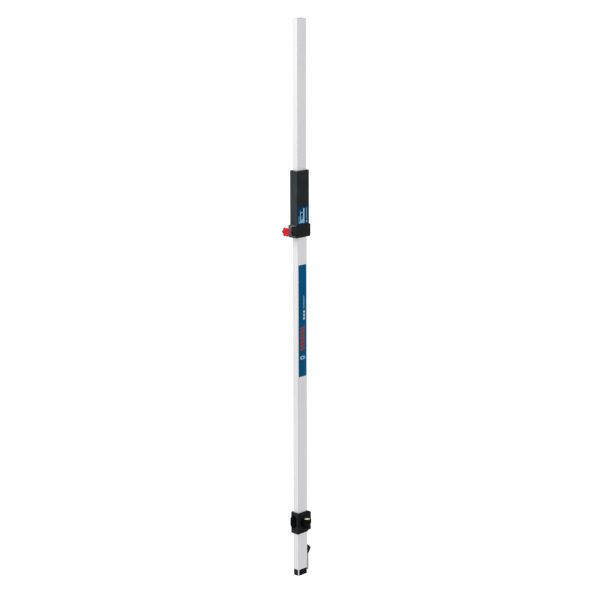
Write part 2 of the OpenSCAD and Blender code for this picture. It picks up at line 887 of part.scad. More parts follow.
module release_spring() {
  turns = 4;
  steps = 14;
  sides = 6;
  wire = 0.4;
  length = cavity_x - strap_x[1] - 2 * wire - 0.1;
  rings = turns * steps;
  pts = [
    for (i = [0:rings]) each coil_ring(360 * i / steps, 3.4, wire, length / turns, sides)
  ];
  walls = [
    for (i = [0:rings - 1], j = [0:sides - 1]) let (k = (j + 1) % sides)
      [i * sides + j, i * sides + k, (i + 1) * sides + k, (i + 1) * sides + j]
  ];
  ends = [
    [for (j = [0:sides - 1]) sides - 1 - j],
    [for (j = [0:sides - 1]) rings * sides + j]
  ];
  color("silver")
  translate([strap_x[1] + wire + 0.05, 3, button_z]) polyhedron(pts, concat(walls, ends));
}

// ---- toe ----

module toe_strip() {
  flange = toe_w / 2;
  color("#8f9294")
  difference() {
    union() {
      for (s = [-1, 1]) {
        y0 = s > 0 ? flange - toe_sheet : -flange;
        block(toe_in_x, toe_out_x, y0, y0 + toe_sheet, toe_hinge_z, toe_tab_z);
        rod_y(y0, y0 + toe_sheet, toe_end_r, toe_x, toe_hinge_z);
      }
      block(toe_out_x - toe_sheet, toe_out_x, -flange, flange, toe_hinge_z + 3.4, toe_tab_z);
      block(
        toe_out_x - toe_sheet, toe_out_x, -tab_tongue[0], tab_tongue[0],
        toe_tab_z - 1, toe_tab_z + tab_tongue[1]
      );
    }
    rod_y(-toe_w, toe_w, toe_pin_r + fit, toe_x, toe_hinge_z);
    along_x(toe_x, toe_x + 5)
      translate([0, (toe_hinge_z + toe_tab_z) / 2 + 4]) stadium(toe_slot[0], toe_slot[1]);
  }
}

module toe_tab() {
  x0 = half_w + 1.2;
  slope_x = toe_x + 1;
  color("#1a1c1e")
  difference() {
    along_y(-toe_w / 2, toe_w / 2) {
      polygon([
        [x0, toe_tab_z], [toe_out_x + 1.2, toe_tab_z],
        [tab_tip[0] + tab_tip_r * 0.6 - 0.4, tab_tip[1] - tab_tip_r - 1.2],
        [tab_tip[0], tab_tip[1]],
        [slope_x, tab_top], [x0, tab_top - 1]
      ]);
      translate([tab_tip[0] - tab_tip_r * 0.75, tab_tip[1] - tab_tip_r * 0.9]) circle(tab_tip_r);
    }
    block(
      toe_out_x - toe_sheet - fit, toe_out_x + fit, -tab_tongue[0] - fit, tab_tongue[0] + fit,
      toe_tab_z - cut, toe_tab_z + tab_tongue[1] + fit
    );
    // thumb grooves across the slope
    for (t = [0.2:0.2:0.8])
      rod_y(
        -8, 8, tab_groove_r,
        slope_x + t * (tab_tip[0] - slope_x), tab_top + t * (tab_tip[1] - tab_top) + 0.2
      );
  }
}

outer_tube();
foot_plug();
foot_sole();
sole_screws();
foot_rivets();
bump_stop();
toe_pin();
front_label();
outer_scale();
clamp_body();
clamp_cover();
clamp_screws();
stop_screws();
thread_insert();
grip_sleeve();
sleeve_label();
sleeve_screws();
upper_collar();
window_bezel();
window_lens();
inner_tube();
top_cap();
guide_shoe();
shoe_rivets();
inner_scale();
brake_pad();
knob_stud();
knob_head();
knob_cap();
housing_front();
housing_rear();
housing_screws();
liner_runners();
vial_holder();
vial_base();
vial_liquid();
vial_lens();
vial_ring();
release_button();
release_yoke();
yoke_pad();
release_spring();
toe_strip();
toe_tab();
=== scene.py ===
"""Looks of a two-section levelling rod: anodised tubes, a knob clamp, a sliding bullseye and a fold-out toe.

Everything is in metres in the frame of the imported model: +Z up the rod, the wide front face along -Y,
the knob on -X and the toe on +X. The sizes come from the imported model's own boxes.
"""

import math

import bmesh
import bpy
from mathutils import Matrix, Vector


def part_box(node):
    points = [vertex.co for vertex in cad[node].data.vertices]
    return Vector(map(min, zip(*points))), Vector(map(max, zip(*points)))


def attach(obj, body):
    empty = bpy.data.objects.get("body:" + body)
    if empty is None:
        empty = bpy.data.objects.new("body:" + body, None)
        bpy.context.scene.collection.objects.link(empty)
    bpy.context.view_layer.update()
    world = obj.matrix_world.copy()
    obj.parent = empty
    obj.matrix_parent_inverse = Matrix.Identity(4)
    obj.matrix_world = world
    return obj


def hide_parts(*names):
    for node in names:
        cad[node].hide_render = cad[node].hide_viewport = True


MM = 0.001
SMOOTH_ANGLE = math.radians(32)
BEVEL_ANGLE = math.radians(40)
TINY = 1e-6

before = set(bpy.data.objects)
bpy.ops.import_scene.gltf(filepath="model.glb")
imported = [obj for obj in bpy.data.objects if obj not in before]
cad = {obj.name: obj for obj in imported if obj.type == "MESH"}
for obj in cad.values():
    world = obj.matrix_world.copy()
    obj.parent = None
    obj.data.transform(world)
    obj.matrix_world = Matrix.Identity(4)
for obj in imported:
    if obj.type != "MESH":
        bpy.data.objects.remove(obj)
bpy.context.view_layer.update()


# ---------------------------------------------------------------- camera, light and floor

# The camera stands far off, a little above the rod, and looks between the knob's side and the front
CAMERA_AZIMUTH = -45.38
CAMERA_ELEVATION = 12.735
CAMERA_ROLL = -0.167
CAMERA_DISTANCE = 5.4087
CAMERA_AIM = Vector((-0.0084, 0.0085, 0.9341))
CAMERA_LENS = 103.99
SENSOR_WIDTH = 36
FAR_CLIP = 300

# Name, place, target, size and power of each lamp: the key stands high on the knob's side
LAMPS = (
    ("key", (-8.0, 0.4, 7.0), (0, 0, 0.9), (3.0, 5.0), 740),
    ("top", (0.3, 0.4, 5.0), (0, 0, 0), (2.4, 2.4), 30),
)
FLOOR_RADIUS = 3.0
FLOOR_TONE = (0.1, 0.1, 0.1, 1)
FLOOR_GLOW = 0.94
DOME_RADIUS = 30.0
DOME_BRIGHT_SIDE = (0.7071, 0.7071, 0)
DOME_FADE = (("From Min", -1.0), ("From Max", 0.8), ("To Min", 0.34), ("To Max", 1.0))


def camera_basis(azimuth, elevation, roll):
    """The camera's right, up and back directions, as a view around +Z."""
    a, e = math.radians(azimuth), math.radians(elevation)
    back = Vector((math.sin(a) * math.cos(e), -math.cos(a) * math.cos(e), math.sin(e)))
    right = Vector((math.cos(a), math.sin(a), 0))
    up = back.cross(right)
    turn = Matrix.Rotation(math.radians(roll), 3, back)
    return turn @ right, turn @ up, back


def make_camera():
    right, up, back = camera_basis(CAMERA_AZIMUTH, CAMERA_ELEVATION, CAMERA_ROLL)
    data = bpy.data.cameras.new("camera")
    data.lens = CAMERA_LENS
    data.sensor_width = SENSOR_WIDTH
    data.clip_end = FAR_CLIP
    obj = bpy.data.objects.new("camera", data)
    eye = CAMERA_AIM + back * CAMERA_DISTANCE
    obj.matrix_world = Matrix.Translation(eye) @ Matrix((right, up, back)).transposed().to_4x4()
    bpy.context.scene.collection.objects.link(obj)
    bpy.context.scene.camera = obj


def area_light(name, place, target, size, power):
    data = bpy.data.lights.new(name, "AREA")
    data.shape = "RECTANGLE"
    data.size, data.size_y = size
    data.energy = power
    obj = bpy.data.objects.new(name, data)
    away = Vector(place) - Vector(target)
    obj.matrix_world = Matrix.Translation(place) @ away.to_track_quat("Z", "Y").to_matrix().to_4x4()
    bpy.context.scene.collection.objects.link(obj)


def make_world():
    """Plain white, which the camera sees past the floor."""
    world = bpy.data.worlds.new("studio")
    bpy.context.scene.world = world
    world.use_nodes = True
    background = world.node_tree.nodes["Background"]
    background.inputs["Color"].default_value = (1, 1, 1, 1)
    background.inputs["Strength"].default_value = 1.0


def make_dome():
    """The soft light, unseen by the camera: brightest behind the rod, dimmest behind the camera."""
    bm = bmesh.new()
    bmesh.ops.create_icosphere(bm, subdivisions=4, radius=DOME_RADIUS)
    mesh = bpy.data.meshes.new("dome")
    bm.to_mesh(mesh)
    bm.free()
    dome = bpy.data.objects.new("dome", mesh)
    bpy.context.scene.collection.objects.link(dome)
    dome.visible_camera = False
    glow = bpy.data.materials.new("dome_glow")
    glow.use_nodes = True
    glow.cycles.emission_sampling = "NONE"
    tree = glow.node_tree
    tree.nodes.clear()
    where = tree.nodes.new("ShaderNodeTexCoord")
    away = tree.nodes.new("ShaderNodeVectorMath")
    away.operation = "NORMALIZE"
    behind = tree.nodes.new("ShaderNodeVectorMath")
    behind.operation = "DOT_PRODUCT"
    behind.inputs[1].default_value = DOME_BRIGHT_SIDE
    ramp = tree.nodes.new("ShaderNodeMapRange")
    for key, number in DOME_FADE:
        ramp.inputs[key].default_value = number
    light = tree.nodes.new("ShaderNodeEmission")
    surface = tree.nodes.new("ShaderNodeOutputMaterial")
    tree.links.new(where.outputs["Object"], away.inputs[0])
    tree.links.new(away.outputs["Vector"], behind.inputs[0])
    tree.links.new(behind.outputs["Value"], ramp.inputs["Value"])
    tree.links.new(ramp.outputs["Result"], light.inputs["Strength"])
    tree.links.new(light.outputs["Emission"], surface.inputs["Surface"])
    mesh.materials.append(glow)


def make_floor():
    """A white disc that shows shadows, but lights and reflects in nothing."""
    bm = bmesh.new()
    bmesh.ops.create_circle(bm, cap_ends=True, radius=FLOOR_RADIUS, segments=96)
    mesh = bpy.data.meshes.new("floor")
    bm.to_mesh(mesh)
    bm.free()
    floor = bpy.data.objects.new("floor", mesh)
    bpy.context.scene.collection.objects.link(floor)
    floor.visible_diffuse = False
    floor.visible_glossy = False
    paint = bpy.data.materials.new("floor_white")
    paint.use_nodes = True
    shader = paint.node_tree.nodes["Principled BSDF"]
    shader.inputs["Base Color"].default_value = FLOOR_TONE
    shader.inputs["Roughness"].default_value = 0.9
    shader.inputs["Specular IOR Level"].default_value = 0.0
    shader.inputs["Emission Color"].default_value = (1, 1, 1, 1)
    shader.inputs["Emission Strength"].default_value = FLOOR_GLOW
    mesh.materials.append(paint)


# ---------------------------------------------------------------- materials

# The edges that a shader finds: how far it looks, and the cosines between which they fade in
WORN_EDGE = 0.0009
EDGE_FADE = (0.995, 0.9)


class Graph:
    """A material's node tree, with short calls to add and link nodes."""

    def __init__(self, name):
        self.material = bpy.data.materials.new(name)
        self.material.use_nodes = True
        self.tree = self.material.node_tree
        self.shader = self.tree.nodes["Principled BSDF"]
        self.place = self.add("ShaderNodeTexCoord").outputs["Object"]

    def add(self, kind, **settings):
        node = self.tree.nodes.new(kind)
        for key, value in settings.items():
            setattr(node, key, value)
        return node

    def link(self, source, target):
        self.tree.links.new(source, target)

    def stretched(self, scale):
        """Object coordinates scaled by a vector, in waves per metre."""
        mapping = self.add("ShaderNodeMapping")
        mapping.inputs["Scale"].default_value = scale
        self.link(self.place, mapping.inputs["Vector"])
        return mapping.outputs["Vector"]

    def noise(self, scale, detail=3.0, rough=0.5):
        node = self.add("ShaderNodeTexNoise")
        node.inputs["Scale"].default_value = 1.0
        node.inputs["Detail"].default_value = detail
        node.inputs["Roughness"].default_value = rough
        self.link(self.stretched(scale), node.inputs["Vector"])
        return node.outputs["Fac"]

    def cells(self, scale):
        node = self.add("ShaderNodeTexVoronoi")
        node.inputs["Scale"].default_value = 1.0
        self.link(self.stretched(scale), node.inputs["Vector"])
        return node.outputs["Distance"]

    def ranged(self, value, low, high, to_low, to_high):
        node = self.add("ShaderNodeMapRange")
        for key, number in (
            ("From Min", low), ("From Max", high), ("To Min", to_low), ("To Max", to_high)
        ):
            node.inputs[key].default_value = number
        self.link(value, node.inputs["Value"])
        return node.outputs["Result"]

    def mixed(self, factor, first, second):
        """A colour between two colours or colour sockets."""
        node = self.add("ShaderNodeMix", data_type="RGBA")
        self.link(factor, node.inputs["Factor"])
        for key, value in (("A", first), ("B", second)):
            socket = [s for s in node.inputs if s.name == key and s.type == "RGBA"][0]
            if hasattr(value, "is_output"):
                self.link(value, socket)
            else:
                socket.default_value = (*value, 1)
        return [s for s in node.outputs if s.type == "RGBA"][0]

    def edges(self):
        """1 on the edges of the shape and 0 on its flats, from the bevelled normal."""
        bevel = self.add("ShaderNodeBevel", samples=4)
        bevel.inputs["Radius"].default_value = WORN_EDGE
        true = self.add("ShaderNodeNewGeometry").outputs["Normal"]
        dot = self.add("ShaderNodeVectorMath", operation="DOT_PRODUCT")
        self.link(bevel.outputs["Normal"], dot.inputs[0])
        self.link(true, dot.inputs[1])
        return self.ranged(dot.outputs["Value"], *EDGE_FADE, 0.0, 1.0)

    def bumped(self, height, strength, distance, under=None):
        node = self.add("ShaderNodeBump")
        node.inputs["Strength"].default_value = strength
        node.inputs["Distance"].default_value = distance
        self.link(height, node.inputs["Height"])
        if under is not None:
            self.link(under, node.inputs["Normal"])
        return node.outputs["Normal"]

    def finish(self, color=None, rough=None, normal=None, **constants):
        for socket, value in (("Base Color", color), ("Roughness", rough), ("Normal", normal)):
            if value is not None:
                self.link(value, self.shader.inputs[socket])
        for key, value in constants.items():
            self.shader.inputs[key.replace("_", " ")].default_value = value
        return self.material


def shade(color, factor):
    return tuple(min(1.0, c * factor) for c in color)


def anodised_aluminium():
    """Extruded and matt anodised: long faint drawing lines and a clouded sheen."""
    g = Graph("anodised_aluminium")
    lines = g.noise((2600, 2600, 3), detail=4)
    clouds = g.noise((9, 9, 2.2), detail=3)
    grain = g.noise((5200, 5200, 5200), detail=1)
    color = g.mixed(g.ranged(clouds, 0.3, 0.7, 0, 1), (0.80, 0.80, 0.815), (0.86, 0.86, 0.87))
    normal = g.bumped(lines, 0.10, 0.00004)
    normal = g.bumped(grain, 0.10, 0.00003, under=normal)
    return g.finish(
        color, g.ranged(lines, 0.25, 0.75, 0.46, 0.56), normal,
        Metallic=0.88, Specular_IOR_Level=0.4,
    )


def moulded(name, base, rough, grain=1500, depth=0.00005, wear=1.7, level=0.4):
    """Spark-textured plastic: pebbled grain, slightly clouded, paler and smoother on its edges."""
    g = Graph(name)
    pebbles = g.cells((grain, grain, grain))
    clouds = g.noise((30, 30, 18), detail=4)
    handled = g.edges()
    tone = g.mixed(g.ranged(clouds, 0.3, 0.7, 0, 1), shade(base, 0.86), shade(base, 1.16))
    color = g.mixed(handled, tone, shade(base, wear))
    normal = g.bumped(pebbles, 0.35, depth)
    return g.finish(
        color, g.ranged(clouds, 0.3, 0.7, rough - 0.05, rough + 0.06), normal,
        Specular_IOR_Level=level,
    )


def rubber(name, base):
    """Matt rubber with a fine grain, paler where dust lies."""
    g = Graph(name)
    grains = g.noise((2200, 2200, 2200), detail=2)
    dust = g.noise((60, 60, 40), detail=5)
    color = g.mixed(g.ranged(dust, 0.45, 0.75, 0, 1), base, shade(base, 2.2))
    return g.finish(
        color, g.ranged(dust, 0.3, 0.7, 0.72, 0.85), g.bumped(grains, 0.3, 0.00006),
        Specular_IOR_Level=0.12,
    )


def glossy_plastic(name, base, rough=0.22):
    """Injection moulded and glossy, with faint flow marks and fine scuffs."""
    g = Graph(name)
    flow = g.noise((70, 70, 70), detail=3)
    scuffs = g.noise((900, 160, 900), detail=5, rough=0.7)
    color = g.mixed(g.ranged(flow, 0.3, 0.7, 0, 1), shade(base, 0.9), shade(base, 1.08))
    return g.finish(
        color, g.ranged(scuffs, 0.4, 0.75, rough, rough + 0.2), g.bumped(flow, 0.06, 0.0002),
        Specular_IOR_Level=0.3, Coat_Weight=0.1, Coat_Roughness=0.15,
    )


def metal(name, base, rough, stretch=(1800, 1800, 60)):
    """Bare metal, brushed along the direction in which stretch is smallest, with faint stains."""
    g = Graph(name)
    brushed = g.noise(stretch, detail=4)
    stains = g.noise((120, 120, 120), detail=4)
    color = g.mixed(g.ranged(stains, 0.35, 0.7, 0, 1), base, shade(base, 0.78))
    return g.finish(
        color, g.ranged(brushed, 0.3, 0.7, rough, rough + 0.14), g.bumped(brushed, 0.12, 0.00003),
        Metallic=1.0,
    )


def label_film(name, base):
    """Printed matt film: even ink with slight orange peel."""
    g = Graph(name)
    ink = g.noise((260, 260, 90), detail=4)
    peel = g.noise((700, 700, 700), detail=2)
    color = g.mixed(g.ranged(ink, 0.3, 0.7, 0, 1), shade(base, 0.95), shade(base, 1.06))
    return g.finish(
        color, g.ranged(ink, 0.3, 0.7, 0.36, 0.46), g.bumped(peel, 0.05, 0.00005),
        Specular_IOR_Level=0.03,
    )


def clear(name, tint, alpha, rough=0.03):
    """Clear plastic, seen through by its alpha, with a trace of haze."""
    g = Graph(name)
    haze = g.noise((400, 400, 400), detail=3)
    color = g.mixed(haze, tint, shade(tint, 0.96))
    return g.finish(
        color, g.ranged(haze, 0.3, 0.7, rough, rough + 0.05), None,
        Alpha=alpha, Specular_IOR_Level=0.6,
    )


def vial_spirit_painted_glow():
    """Tinted spirit under the open top, over the pale base, made brighter by a painted glow: a faint
    emission.
    """
    g = Graph("vial_spirit_painted_glow")
    depth = g.noise((60, 60, 160), detail=2)
    color = g.mixed(g.ranged(depth, 0.3, 0.7, 0, 1), (0.64, 0.76, 0.20), (0.72, 0.83, 0.27))
    # painted glow: the emission below brightens the spirit, which is no lamp
    return g.finish(
        color, g.ranged(depth, 0.3, 0.7, 0.06, 0.1), None,
        Specular_IOR_Level=0.4, Emission_Color=(0.66, 0.78, 0.22, 1), Emission_Strength=0.3,
    )


ALUMINIUM = anodised_aluminium()
SLEEVE = moulded("sleeve_plastic", (0.046, 0.054, 0.056), 0.66, level=0.0)
CLAMP_GREY = moulded("clamp_grey_plastic", (0.12, 0.115, 0.115), 0.5, level=0.25)
COVER = moulded("cover_plastic", (0.023, 0.024, 0.026), 0.5, level=0.12)
BLACK = moulded("black_plastic", (0.006, 0.0064, 0.007), 0.5, level=0.1)
HOUSING = moulded("housing_plastic", (0.027, 0.028, 0.030), 0.56, grain=1250, level=0.04)
FOOT = moulded("foot_plastic", (0.016, 0.0156, 0.018), 0.6, grain=900, depth=0.00006, level=0.08)
CAP = moulded("cap_plastic", (0.02, 0.02, 0.022), 0.5)
WHITE_PLASTIC = moulded("acetal", (0.70, 0.69, 0.65), 0.4, wear=1.1)
RUBBER = rubber("rubber", (0.012, 0.012, 0.012))
SOFT_TOUCH = rubber("soft_touch", (0.0008, 0.0008, 0.0014))
RED = glossy_plastic("red_plastic", (0.60, 0.006, 0.013), rough=0.3)
RED_CAP = glossy_plastic("red_cap_plastic", (0.50, 0.006, 0.013), rough=0.3)
STEEL = metal("brushed_steel", (0.62, 0.62, 0.63), 0.28)
ZINC = metal("blackened_zinc", (0.20, 0.20, 0.21), 0.34)
RIVET = metal("rivet_aluminium", (0.76, 0.76, 0.77), 0.3)
BRASS = metal("brass", (0.74, 0.55, 0.26), 0.26)
TOE_METAL = metal("toe_metal", (0.42, 0.43, 0.44), 0.42, stretch=(1500, 90, 1500))
LABEL_BLUE = label_film("label_blue", (0.0, 0.135, 0.28))
LABEL_NAVY = label_film("label_navy", (0.003, 0.07, 0.16))
LABEL_SKY = label_film("label_sky", (0.06, 0.24, 0.38))
PRINT_WHITE = label_film("print_white", (0.80, 0.84, 0.88))
PRINT_ICE = label_film("print_ice", (0.68, 0.87, 1.0))
PRINT_PALE = label_film("print_pale", (0.42, 0.64, 0.80))
PRINT_ORANGE = label_film("print_orange", (0.46, 0.085, 0.045))
SCALE_CREAM = label_film("scale_cream", (0.82, 0.79, 0.62))
SCALE_BLACK = label_film("scale_black", (0.012, 0.012, 0.013))
SCALE_RED = label_film("scale_red", (0.62, 0.015, 0.015))
PANE = clear("clear_pane", (0.92, 0.96, 0.97), 0.22)
ACRYLIC = clear("vial_acrylic", (0.80, 0.87, 0.52), 0.5)
SPIRIT_PAINTED_GLOW = vial_spirit_painted_glow()
VIAL_BASE = glossy_plastic("vial_base_plastic", (0.72, 0.77, 0.48))
BUBBLE = glossy_plastic("vial_bubble", (0.88, 0.92, 0.66), rough=0.08)


# ---------------------------------------------------------------- mesh helpers

def piece(name, bm, material, body, sharp=SMOOTH_ANGLE):
    """Makes an object of a bmesh, shades it and lets it ride on its body."""
    bmesh.ops.recalc_face_normals(bm, faces=bm.faces)
    mesh = bpy.data.meshes.new(name)
    bm.to_mesh(mesh)
    bm.free()
    mesh.materials.append(material)
    mesh.polygons.foreach_set("use_smooth", [True] * len(mesh.polygons))
    mesh.set_sharp_from_angle(angle=sharp)
    obj = bpy.data.objects.new(name, mesh)
    bpy.context.scene.collection.objects.link(obj)
    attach(obj, body)
    return obj


def soften(obj, width):
    """Rounds the sharp edges of an object with a modifier, and evens out its normals."""
    weld = obj.modifiers.new("joined_corners", "WELD")
    weld.merge_threshold = TINY
    bevel = obj.modifiers.new("rounded_edges", "BEVEL")
    bevel.width = width
    bevel.segments = 2
    bevel.limit_method = "ANGLE"
    bevel.angle_limit = BEVEL_ANGLE
    evened = obj.modifiers.new("evened_normals", "WEIGHTED_NORMAL")
    evened.keep_sharp = True


def dress(node, material, bevel=0.0):
    """Gives a carried-over CAD node its material, and rounds its edges by bevel metres."""
    obj = cad[node]
    for held in obj.material_slots:
        held.material = material
    if bevel:
        soften(obj, bevel)


def box_into(bm, low, high):
    """Adds a box between two corners."""
    corners = [
        bm.verts.new((x, y, z))
        for x in (low[0], high[0]) for y in (low[1], high[1]) for z in (low[2], high[2])
    ]
    for loop in ((0, 1, 3, 2), (4, 6, 7, 5), (0, 4, 5, 1), (2, 3, 7, 6), (0, 2, 6, 4), (1, 5, 7, 3)):
        bm.faces.new([corners[i] for i in loop])


def loft_into(bm, rings):
    """Adds the skin over rings of points, with its two ends closed."""
    layers = [[bm.verts.new(p) for p in ring] for ring in rings]
    count = len(layers[0])
    for low, high in zip(layers, layers[1:]):
        for i in range(count):
            j = (i + 1) % count
            bm.faces.new((low[i], low[j], high[j], high[i]))
    bm.faces.new(list(reversed(layers[0])))
    bm.faces.new(layers[-1])


def rounded_outline(width, height, radius, steps=5):
    """Points round a rectangle with round corners, about the origin."""
    points = []
    for sx, sy, start in ((1, 1, 0), (-1, 1, 90), (-1, -1, 180), (1, -1, 270)):
        cx, cy = sx * (width / 2 - radius), sy * (height / 2 - radius)
        for i in range(steps + 1):
            a = math.radians(start + 90 * i / steps)
            points.append((cx + radius * math.cos(a), cy + radius * math.sin(a)))
    return points


def circle_points(radius, steps):
    """Points round a circle about the origin."""
    turns = [2 * math.pi * i / steps for i in range(steps)]
    return [(radius * math.cos(a), radius * math.sin(a)) for a in turns]


def rib_into(bm, mid_y, mid_z, width, height, corner, levels, steps):
    """Adds a raised bar on a face across X: levels holds each ring's x and how thin it is there."""
    rings = []
    for x, thin in levels:
        outline = rounded_outline(width, height * thin, corner * thin, steps)
        rings.append([(x, mid_y + u, mid_z + v) for u, v in outline])
    loft_into(bm, rings)


def centre(node):
    """The middle of a CAD node's box."""
    low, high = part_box(node)
    return (low + high) / 2


# ---------------------------------------------------------------- labels

FILM_LIFT = 0.03 * MM  # how far printed ink stands off the film under it
FILM_CHAMFER = (0.06 * MM, 0.04 * MM)  # across and through the film's edge
FRONT = -1
BACK = 1


def film(name, node, material, radius):
    """A label with round corners in the place of its CAD plate on the front."""
    low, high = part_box(node)
    mid = (low + high) / 2
    across, through = FILM_CHAMFER
    outline = rounded_outline(high.x - low.x, high.z - low.z, radius)
    wide = 1 - 2 * across / (high.x - low.x)
    tall = 1 - 2 * across / (high.z - low.z)
    rings = [
        [(mid.x + u * across_share, y, mid.z + v * up_share) for u, v in outline]
        for y, across_share, up_share in (
            (high.y, 1, 1), (low.y + through, 1, 1), (low.y, wide, tall),
        )
    ]
    bm = bmesh.new()
    loft_into(bm, rings)
    obj = piece(name, bm, material, "lower")
    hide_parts(node)


def print_bars(name, bars, y, material, side=FRONT):
    """Flat printed bars, each (low x, high x, low z, high z), standing just proud of y."""
    bm = bmesh.new()
    for x0, x1, z0, z1 in bars:
        box_into(bm, (x0, y, z0), (x1, y + side * FILM_LIFT, z1))
    piece(name, bm, material, "lower")


def print_shapes(name, outlines, y, material):
    """Flat printed outlines on the front, each a list of (x, z), standing just proud of y."""
    bm = bmesh.new()
    for outline in outlines:
        loft_into(bm, [[(x, y + lift, z) for x, z in outline] for lift in (0, -FILM_LIFT)])
    piece(name, bm, material, "lower")


def make_front_label():
    """The long blue label. Its marks are placed by shares of its width and height."""
    low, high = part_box("front_label")
    film("front_label_film", "front_label", LABEL_BLUE, 1.2 * MM)
    width, height = high.x - low.x, high.z - low.z
    mid = (low.x + high.x) / 2

    def at(share):
        return low.z + share * height

    # slanted orange dashes, as on a barrier, in the label's lower half
    first, count, pitch, reach, slant = at(0.245), 7, height * 0.031, width * 0.27, height * 0.010
    half = pitch * 0.33
    dashes = []
    for i in range(count):
        z = first + i * pitch
        dashes.append([
            (mid - reach, z - half), (mid + reach, z - half + slant),
            (mid + reach, z + half + slant), (mid - reach, z + half),
        ])
    print_shapes("label_orange_dashes", dashes, low.y, PRINT_ORANGE)
    # a flat capsule with a bubble in it, as the sign for levelling
    sign_z, tube_w, tube_h = at(0.17), width * 0.64, height * 0.032
    bubble_w, bubble_h = width * 0.13, tube_h * 0.26
    tube = [(mid + u, sign_z + v) for u, v in rounded_outline(tube_w, tube_h, tube_h * 0.499, 8)]
    print_shapes("label_tube_sign", [tube], low.y, PRINT_PALE)
    bubble = [(mid + u * bubble_w, sign_z + v * bubble_h) for u, v in circle_points(1, 36)]
    print_shapes("label_bubble_sign", [bubble], low.y - FILM_LIFT, LABEL_BLUE)
    # short white blocks and a long pale rule above them
    left, right, tall = mid + width * 0.10, mid + width * 0.30, 0.022
    blocks = [(left, right, at(share), at(share + tall)) for share in (0.51, 0.54, 0.57)]
    print_bars("label_white_blocks", blocks, low.y, PRINT_WHITE)
    rule = (mid + width * 0.13, mid + width * 0.22, at(0.61), at(0.725))
    print_bars("label_pale_rule", [rule], low.y, PRINT_PALE)


def make_sleeve_label():
    """The sleeve's square label. Its marks are placed by shares of its width and height."""
    low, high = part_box("sleeve_label")
    film("sleeve_label_film", "sleeve_label", LABEL_NAVY, 1.0 * MM)
    width, height = high.x - low.x, high.z - low.z

    def at(u, v):
        return low.x + u * width, low.z + v * height

    def bar(u0, u1, v0, v1):
        return (*(at(u, 0)[0] for u in (u0, u1)), *(at(0, v)[1] for v in (v0, v1)))

    # left half: a pale field with a sketch of a rod on a slope, each part on a layer of its own
    field = bar(0.05, 0.49, 0.06, 0.50)
    print_bars("sleeve_field", [field], low.y, LABEL_SKY)
    slope = [at(0.07, 0.10), at(0.48, 0.10), at(0.48, 0.34), at(0.28, 0.22)]
    beam = [at(0.20, 0.60), at(0.47, 0.68), at(0.47, 0.72), at(0.20, 0.66)]
    rod = [at(0.20, 0.18), at(0.25, 0.18), at(0.25, 0.80), at(0.20, 0.80)]
    for layer, (name, shape) in enumerate((("slope", slope), ("beam", beam), ("rod", rod)), 1):
        print_shapes(f"sleeve_{name}_sign", [shape], low.y - layer * FILM_LIFT, PRINT_PALE)
    # middle: a pale height bar with a foot beside it
    bars = [bar(0.51, 0.605, 0.07, 0.92), bar(0.78, 0.87, 0.10, 0.20)]
    print_bars("sleeve_height_bar", bars, low.y, PRINT_ICE)
    # right: a ladder of thin rungs with a rail over them
    first, pitch, thick = 0.28, 0.062, 0.017
    rungs = [bar(0.70, 0.86, first + pitch * i, first + thick + pitch * i) for i in range(11)]
    print_bars("sleeve_rungs", rungs, low.y, LABEL_SKY)
    rail = bar(0.795, 0.835, 0.26, 0.94)
    print_bars("sleeve_rail", [rail], low.y - FILM_LIFT, PRINT_PALE)


# ---------------------------------------------------------------- scales

TICK = 0.22 * MM
# The tick at each multiple of so many millimetres, as a share of the strip's width
TICK_LENGTHS = ((100, 0.42), (10, 0.38), (5, 0.26), (1, 0.17))
SCALE_MARGIN = 4 * MM
DECIMETRE_DIGIT = 1.3  # size of the red numbers, over the black ones
GLYPH_GAP = 0.08  # between two digits, and the height of a digit's middle, over its size
GLYPH_MIDDLE = 0.35
GLYPHS = {}


def glyph(char):
    """Points, faces and width of a character, one unit high, from the built-in face."""
    if char not in GLYPHS:
        curve = bpy.data.curves.new("glyph", "FONT")
        curve.body = char
        curve.size = 1.0
        obj = bpy.data.objects.new("glyph", curve)
        bpy.context.scene.collection.objects.link(obj)
        made = obj.evaluated_get(bpy.context.evaluated_depsgraph_get()).to_mesh()
        points = [tuple(v.co) for v in made.vertices]
        faces = [tuple(p.vertices) for p in made.polygons]
        width = max(p[0] for p in points)
        bpy.data.objects.remove(obj)
        bpy.data.curves.remove(curve)
        GLYPHS[char] = (points, faces, width)
    return GLYPHS[char]


def number_into(bm, text, x_right, z_mid, height, y):
    """A number on a surface that faces +Y, its right end (as read) at x_right."""
    gap = GLYPH_GAP * height
    widths = [glyph(c)[2] * height for c in text]
    cursor = x_right + sum(widths) + gap * (len(text) - 1)
    for char, wide in zip(text, widths):
        points, faces, _ = glyph(char)
        made = [
            bm.verts.new((cursor - p[0] * height, y, z_mid + (p[1] - GLYPH_MIDDLE) * height))
            for p in points
        ]
        for face in faces:
            bm.faces.new([made[i] for i in face])
        cursor -= wide + gap


